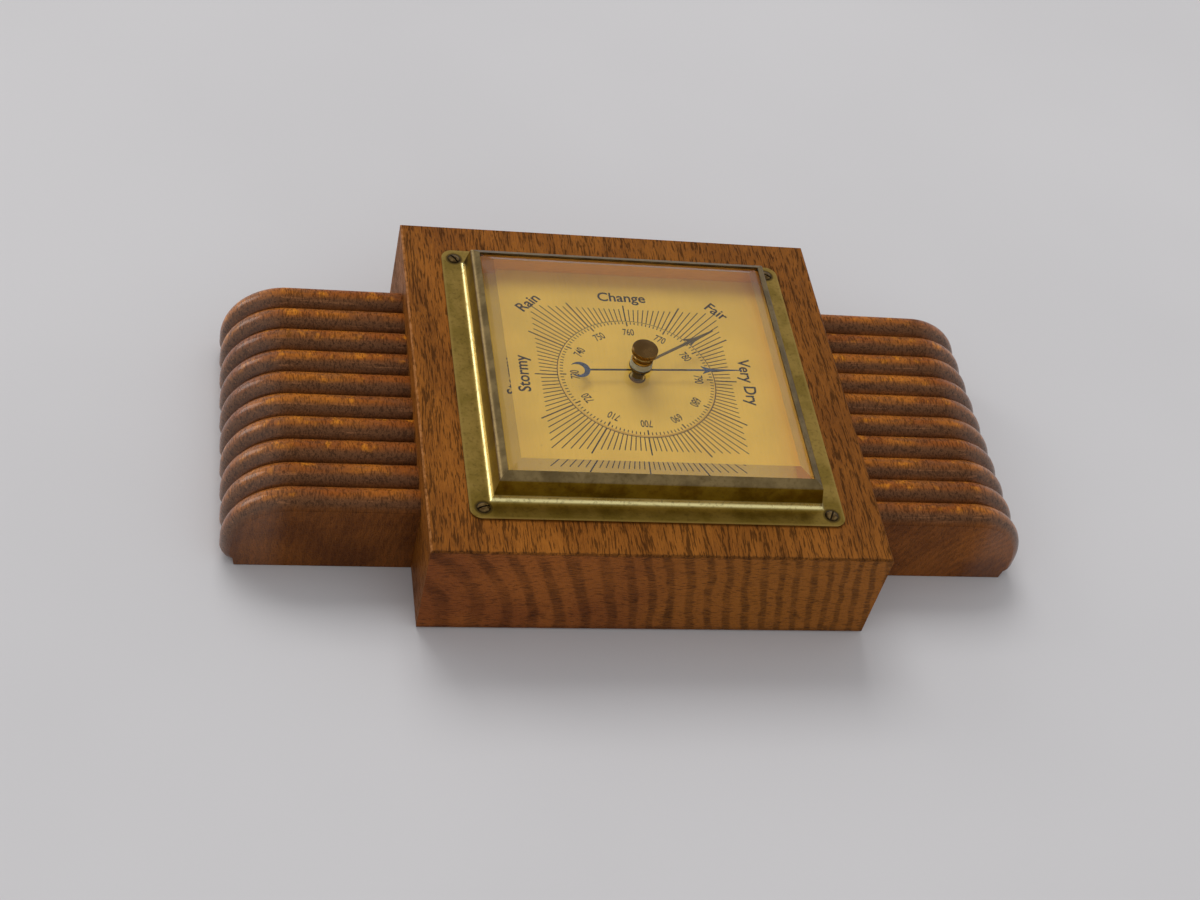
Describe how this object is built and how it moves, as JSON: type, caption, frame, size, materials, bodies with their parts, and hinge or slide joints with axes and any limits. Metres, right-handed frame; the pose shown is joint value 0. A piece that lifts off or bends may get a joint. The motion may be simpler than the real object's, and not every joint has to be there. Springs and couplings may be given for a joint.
{
  "type": "wall barometer",
  "caption": "Aneroid wall barometer: oak block with fluted wings, pressed brass bezel, bevelled square glass, set hand, and a lever and chain movement behind the dial.",
  "frame": {"origin": "centre of the back face, which lies on the wall; the object is stored on its back", "axes": "+Z out of the dial, +Y to the top of the dial as it hangs, +X to the right of the dial"},
  "size_m": [0.273, 0.15, 0.0554],
  "materials": {
    "oak": "stained oak, satin varnish",
    "wing_oak": "dark stained oak, satin varnish",
    "beech": "bare turned beech",
    "bezel_brass": "aged lacquered brass",
    "glass": "clear with a polished bevel",
    "gilt": "brushed gilt",
    "knob_brass": "darkened turned brass",
    "blackened_steel": "blackened",
    "blued_steel": "blued and polished",
    "movement_brass": "stamped brass",
    "steel": "bright steel",
    "nickel_silver": "satin nickel silver",
    "hanger_steel": "dull zinc-plated steel"
  },
  "bodies": {
    "case": {"oak_block": "oak", "left_wing": "wing_oak", "right_wing": "wing_oak", "wing_dowels": "beech", "bezel": "bezel_brass", "bezel_screws": "bezel_brass", "glass": "glass", "gilt_spacer": "gilt", "dial_plate": "gilt", "hairspring": "steel", "hairspring_stud": "movement_brass", "base_plate": "movement_brass", "base_screws": "steel", "capsule_stud": "movement_brass", "lower_diaphragm": "nickel_silver", "upper_diaphragm": "nickel_silver", "spring_bridge": "movement_brass", "main_spring": "steel", "spring_screws": "steel", "rocker_frame": "movement_brass", "rocker_frame_screws": "steel", "lower_pillars": "movement_brass", "arbor_bridge": "movement_brass", "upper_pillars": "movement_brass", "arbor_cock": "movement_brass", "pillar_screws": "steel", "hanger_plate": "hanger_steel", "hanger_screws": "hanger_steel"},
    "set_hand_assembly": {"set_knob": "knob_brass", "set_hand": "blackened_steel", "set_hand_nut": "blackened_steel"},
    "pointer": {"pressure_hand": "blued_steel", "hand_collet": "blackened_steel", "pointer_arbor": "steel", "chain_drum": "movement_brass"},
    "chain_run": {"chain": "steel"},
    "rocker": {"rocking_shaft": "steel", "link_arm": "movement_brass", "chain_arm": "movement_brass"},
    "lever": {"main_lever": "movement_brass", "lever_screws": "steel", "link_rod": "steel"},
    "post": {"capsule_post": "movement_brass", "post_pin": "steel"},
    "adjuster": {"adjusting_screw": "steel"}
  },
  "joints": [
    {"name": "set_hand_turn", "type": "hinge", "parent": "case", "child": "set_hand_assembly", "pos_m": [0, 0, 0.045], "axis": [0, 0, 1], "continuous": true},
    {"name": "pointer_turn", "type": "hinge", "parent": "case", "child": "pointer", "pos_m": [0, 0, 0.04], "axis": [0, 0, 1], "range_deg": [-8, 327]},
    {"name": "chain_travel", "type": "slide", "parent": "case", "child": "chain_run", "axis": [0, 1, 0], "range_m": [-0.00715, 0.0002]},
    {"name": "rocker_turn", "type": "hinge", "parent": "case", "child": "rocker", "pos_m": [0, 0.025, 0.0256], "axis": [1, 0, 0], "range_deg": [-1.4, 54.6]},
    {"name": "lever_swing", "type": "hinge", "parent": "case", "child": "lever", "pos_m": [0, -0.028, 0.0168], "axis": [1, 0, 0], "range_deg": [-0.06, 2.33], "deforming": ["main_spring"]},
    {"name": "capsule_travel", "type": "slide", "parent": "case", "child": "post", "axis": [0, 0, 1], "range_m": [-0.00003, 0.00113], "deforming": ["upper_diaphragm"]},
    {"name": "adjuster_turn", "type": "hinge", "parent": "case", "child": "adjuster", "pos_m": [0, -0.025, 0.006], "axis": [0, 0, 1], "range_deg": [-360, 360]}
  ],
  "couplings": [
    {"joint": "lever_swing", "follows": "capsule_travel", "rad_per_m": 35.773},
    {"joint": "rocker_turn", "follows": "capsule_travel", "rad_per_m": 841.75},
    {"joint": "chain_travel", "follows": "capsule_travel", "ratio": -6.3131},
    {"joint": "pointer_turn", "follows": "capsule_travel", "rad_per_m": 5050.5}
  ]
}
